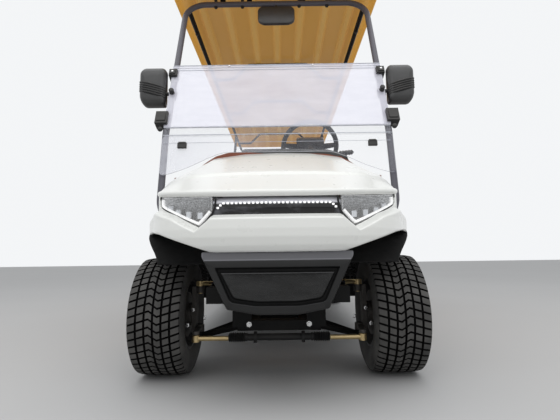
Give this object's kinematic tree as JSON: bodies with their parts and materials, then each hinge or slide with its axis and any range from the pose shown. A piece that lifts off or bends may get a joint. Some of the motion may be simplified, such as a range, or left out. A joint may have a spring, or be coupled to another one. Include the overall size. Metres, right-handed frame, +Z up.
{
  "type": "six-seat electric golf cart",
  "caption": "Open electric golf cart with forward benches, a rear-facing bench with footrest, long roof, folding windshield and steered front wheels.",
  "frame": {"origin": "on the ground, midway along the cart and on its centre line", "axes": "+Z up, the front faces -Y, +X towards the side with the steering wheel"},
  "size_m": [1.314, 3.92, 1.9749],
  "materials": {
    "body_white": "gloss white moulded body panels",
    "black_moulding": "grained black moulding",
    "gloss_black": "gloss black strip",
    "lamp_lens": "clear lamp cover",
    "frame_black": "black powder coat",
    "hoop_grey": "dark graphite powder coat",
    "zinc_gold": "yellow zinc plate",
    "bare_steel": "machined steel",
    "roof_amber": "amber moulded roof",
    "glass": "clear acrylic",
    "dash_brown": "red-brown lacquered moulding",
    "seat_tan": "tan vinyl",
    "tyre": "black rubber",
    "alloy": "machined alloy",
    "grip": "soft grip"
  },
  "bodies": {
    "chassis": {"chassis_frame": "frame_black", "floor_board": "black_moulding", "rocker_panels": "black_moulding", "battery_pack": "black_moulding", "front_beam": "frame_black", "spring_brackets": "frame_black", "lower_arms": "frame_black", "upper_arms": "zinc_gold", "coil_springs": "frame_black", "rack_housing": "frame_black", "rear_axle": "frame_black", "leaf_springs": "frame_black", "tow_eye": "frame_black", "hood": "body_white", "front_fascia": "body_white", "headlamps": "lamp_lens", "light_bar": "gloss_black", "front_bumper": "black_moulding", "front_hoop": "hoop_grey", "windshield_lower": "glass", "windshield_upper": "glass", "windshield_hinge": "glass", "windshield_clips": "black_moulding", "roof_panel": "roof_amber", "roof_frame": "frame_black", "rear_posts": "frame_black", "mirrors": "black_moulding", "arch_liners": "black_moulding", "pedals": "black_moulding", "tail_lamps": "lamp_lens", "dashboard": "dash_brown", "steering_column": "black_moulding", "front_seat_pod": "black_moulding", "rear_seat_pod": "body_white", "middle_seat_cushion": "seat_tan", "rear_seat_cushion": "seat_tan", "front_backrest": "seat_tan", "middle_backrest": "seat_tan", "rear_backrest": "seat_tan", "seat_frames": "frame_black", "rear_body": "body_white", "rear_footrest": "black_moulding"},
    "steering_wheel": {"steering_wheel": "grip"},
    "rack": {"steering_rack": "zinc_gold"},
    "knuckle_left": {"upright_left": "bare_steel"},
    "knuckle_right": {"upright_right": "bare_steel"},
    "front_seat": {"front_seat_cushion": "seat_tan", "front_seat_board": "black_moulding"},
    "wheel_front_left": {"tyre_front_left": "tyre", "rim_front_left": "alloy"},
    "wheel_front_right": {"tyre_front_right": "tyre", "rim_front_right": "alloy"},
    "wheel_rear_left": {"tyre_rear_left": "tyre", "rim_rear_left": "alloy"},
    "wheel_rear_right": {"tyre_rear_right": "tyre", "rim_rear_right": "alloy"}
  },
  "joints": [
    {"name": "steering_wheel_turn", "type": "hinge", "parent": "chassis", "child": "steering_wheel", "pos_m": [0.2, -0.69, 1.145], "axis": [0, 0.788, 0.6157], "range_deg": [-336, 336]},
    {"name": "steer_left", "type": "hinge", "parent": "chassis", "child": "knuckle_left", "pos_m": [-0.322, -1.49, 0.2285], "axis": [0, 0, 1], "range_deg": [-28, 28]},
    {"name": "steer_right", "type": "hinge", "parent": "chassis", "child": "knuckle_right", "pos_m": [0.322, -1.49, 0.2285], "axis": [0, 0, 1], "range_deg": [-28, 28]},
    {"name": "rack_slide", "type": "slide", "parent": "chassis", "child": "rack", "axis": [1, 0, 0], "range_m": [-0.0612, 0.0612]},
    {"name": "front_seat_lift", "type": "hinge", "parent": "chassis", "child": "front_seat", "pos_m": [0, -0.456, 0.6737], "axis": [1, 0, 0], "range_deg": [0, 60]},
    {"name": "spin_front_left", "type": "hinge", "parent": "knuckle_left", "child": "wheel_front_left", "pos_m": [-0.445, -1.49, 0.2285], "axis": [1, 0, 0], "continuous": true},
    {"name": "spin_front_right", "type": "hinge", "parent": "knuckle_right", "child": "wheel_front_right", "pos_m": [0.445, -1.49, 0.2285], "axis": [1, 0, 0], "continuous": true},
    {"name": "spin_rear_left", "type": "hinge", "parent": "chassis", "child": "wheel_rear_left", "pos_m": [-0.4925, 0.93, 0.2285], "axis": [1, 0, 0], "continuous": true},
    {"name": "spin_rear_right", "type": "hinge", "parent": "chassis", "child": "wheel_rear_right", "pos_m": [0.4925, 0.93, 0.2285], "axis": [1, 0, 0], "continuous": true}
  ],
  "couplings": [
    {"joint": "steer_left", "follows": "steering_wheel_turn", "ratio": 0.083333},
    {"joint": "steer_right", "follows": "steering_wheel_turn", "ratio": 0.083333},
    {"joint": "rack_slide", "follows": "steering_wheel_turn", "m_per_rad": 0.010417}
  ]
}
